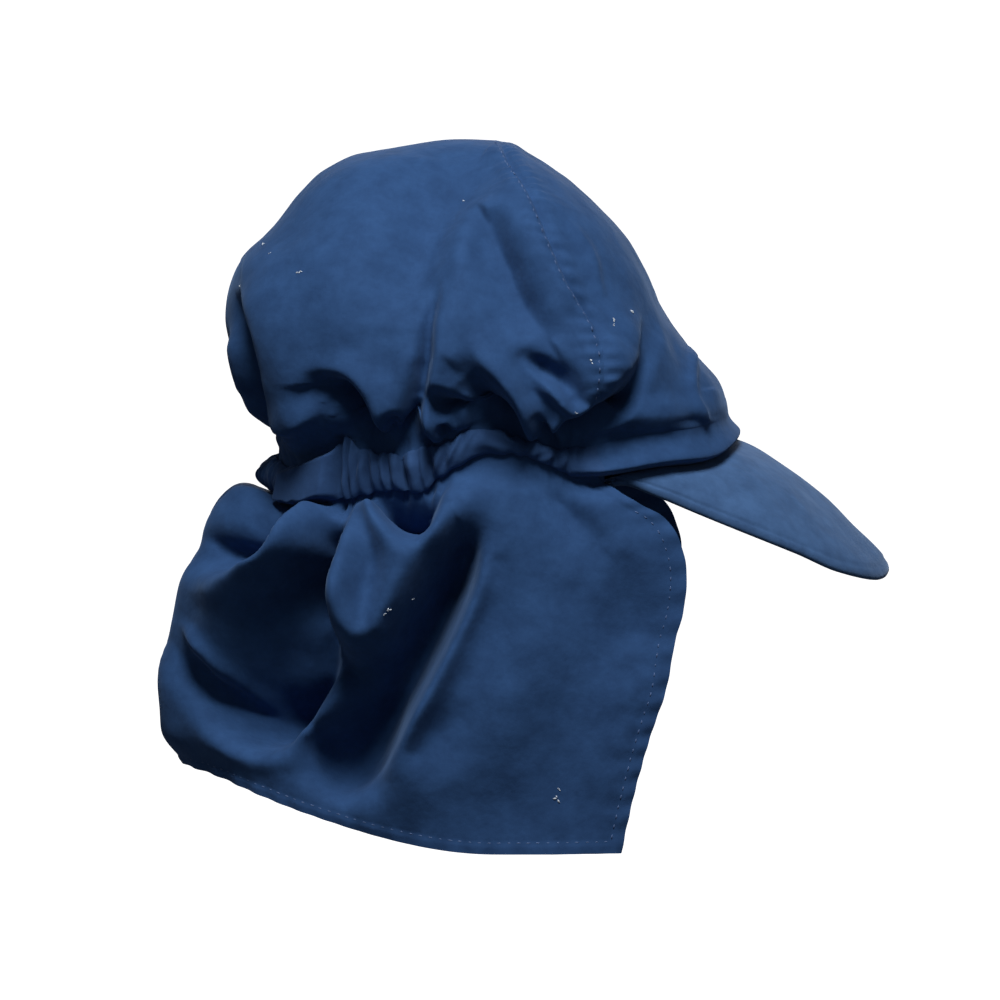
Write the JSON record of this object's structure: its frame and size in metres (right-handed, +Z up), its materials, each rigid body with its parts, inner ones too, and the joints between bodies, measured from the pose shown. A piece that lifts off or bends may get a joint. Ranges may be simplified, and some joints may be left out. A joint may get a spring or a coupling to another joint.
{
  "type": "sun hat with neck flap",
  "caption": "Soft child's sun hat with a puffed gathered crown, elastic casing, arched padded peak and a long folded flap over the neck and ears",
  "frame": {"origin": "the middle of the head opening at the height of the elastic casing, where a head holds the hat up", "axes": "+X is the way the peak points, +Y is the wearer's left, +Z is up"},
  "size_m": [0.2759, 0.184, 0.2658],
  "materials": {
    "crown_cloth": "navy microfibre, matt with a soft bloom",
    "casing_cloth": "navy microfibre, gathered over elastic",
    "peak_cloth": "navy microfibre over wadding and a stiff core",
    "flap_cloth": "navy microfibre, single layer with a stitched hem"
  },
  "bodies": {
    "root": {"crown_back": "crown_cloth", "crown_front": "crown_cloth", "elastic_casing": "casing_cloth", "front_band": "crown_cloth", "peak": "peak_cloth", "neck_flap": "flap_cloth"}
  },
  "joints": []
}
